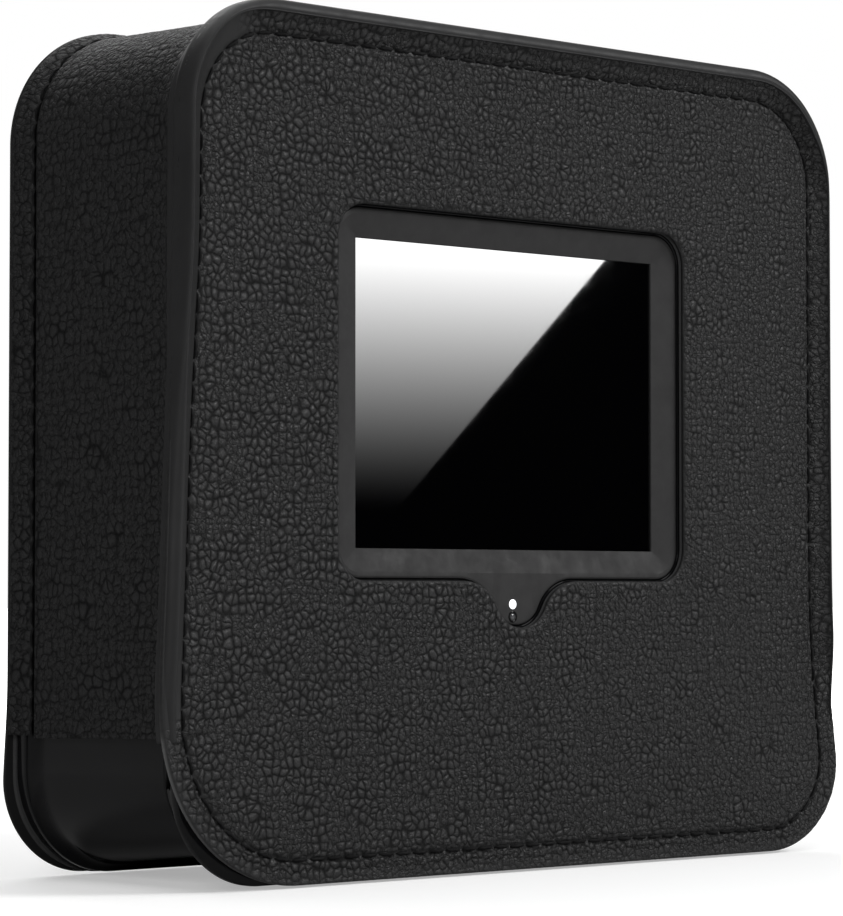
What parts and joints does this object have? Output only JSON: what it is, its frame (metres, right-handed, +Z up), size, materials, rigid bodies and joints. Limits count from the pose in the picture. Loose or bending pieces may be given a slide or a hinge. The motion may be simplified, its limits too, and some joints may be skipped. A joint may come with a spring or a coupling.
{
  "type": "mobile hotspot",
  "caption": "Square touch-screen wireless hotspot standing upright in a black pebbled slip-on sleeve, with rear network sockets, buttons and a card tray.",
  "frame": {"origin": "on the table under the middle of the object, at the feet", "axes": "+Z up, the screen faces -Y, +X to the right seen from the front"},
  "size_m": [0.1264, 0.0396, 0.1175],
  "materials": {
    "gloss_black": "polished",
    "matte_black": "fine texture",
    "bezel_black": "satin",
    "screen_glass": "clear over black",
    "display_stack": "satin",
    "diffuser_white": "diffuse",
    "frame_steel": "plain",
    "led_white": "frosted",
    "sensor_glass": "dark",
    "pcb": "solder mask",
    "connector_black": "moulded",
    "shield_steel": "tinned",
    "heatsink_aluminium": "plain",
    "chip_black": "moulded",
    "battery_wrap": "film",
    "foam_grey": "foam",
    "lead_black": "satin",
    "contact_gold": "plated",
    "tray_black": "satin",
    "card_white": "plain",
    "button_black": "satin",
    "plunger_white": "plain",
    "antenna_film": "film",
    "screw_steel": "black zinc",
    "foot_rubber": "matte",
    "leather_black": "pebbled grain",
    "leather_smooth": "smooth",
    "stiffener_board": "plain",
    "thread_black": "twisted thread"
  },
  "bodies": {
    "device": {"antenna_lead_left": "lead_black", "antenna_lead_right": "lead_black", "backlight_sheet": "diffuser_white", "battery_foam": "foam_grey", "battery_lead": "lead_black", "battery_pack": "battery_wrap", "battery_plug": "connector_black", "board_connector": "connector_black", "board_screws": "screw_steel", "cell_antenna_top": "antenna_film", "cpu_chip": "chip_black", "cpu_heatsink": "heatsink_aluminium", "dc_jack": "connector_black", "dc_jack_pin": "contact_gold", "display_bezel": "bezel_black", "display_frame": "frame_steel", "front_housing": "gloss_black", "housing_screws": "screw_steel", "io_board": "pcb", "lan_contacts_1": "contact_gold", "lan_contacts_2": "contact_gold", "lan_port_1": "connector_black", "lan_port_2": "connector_black", "lcd_panel": "display_stack", "light_sensor_bezel": "bezel_black", "light_sensor_lens": "sensor_glass", "main_board": "pcb", "memory_chips": "chip_black", "mid_housing": "gloss_black", "modem_shield": "shield_steel", "power_switch": "connector_black", "rear_cover": "matte_black", "rubber_feet": "foot_rubber", "sim_socket": "shield_steel", "siren_speaker": "connector_black", "status_led_lens": "led_white", "switch_board": "pcb", "touch_glass": "screen_glass", "usb_shell": "shield_steel", "usb_tongue": "connector_black", "wifi_antenna_left": "antenna_film", "wifi_antenna_right": "antenna_film", "wifi_shield": "shield_steel", "wps_switch": "connector_black"},
    "sleeve": {"sleeve_front_leather": "leather_black", "front_stitching": "thread_black", "sleeve_front_board": "stiffener_board", "sleeve_front_rim": "leather_smooth", "sleeve_side_band": "leather_black", "sleeve_rear_leather": "leather_black", "sleeve_rear_board": "stiffener_board", "rear_stitching": "thread_black"},
    "power_button": {"power_cap": "button_black", "power_plunger": "plunger_white"},
    "wps_button": {"wps_cap": "button_black", "wps_plunger": "plunger_white"},
    "tray": {"sim_tray": "tray_black", "sim_card": "card_white"}
  },
  "joints": [
    {"name": "sleeve_slip", "type": "slide", "parent": "device", "child": "sleeve", "axis": [0, 0, 1], "range_m": [0, 0.12]},
    {"name": "power_press", "type": "slide", "parent": "device", "child": "power_button", "axis": [0, -1, 0], "range_m": [0, 0.0008], "stiffness_N_per_m": 400, "springref_m": -0.001},
    {"name": "wps_press", "type": "slide", "parent": "device", "child": "wps_button", "axis": [0, -1, 0], "range_m": [0, 0.0008], "stiffness_N_per_m": 400, "springref_m": -0.001},
    {"name": "tray_slide", "type": "slide", "parent": "device", "child": "tray", "axis": [0, 1, 0], "range_m": [0, 0.022]}
  ]
}
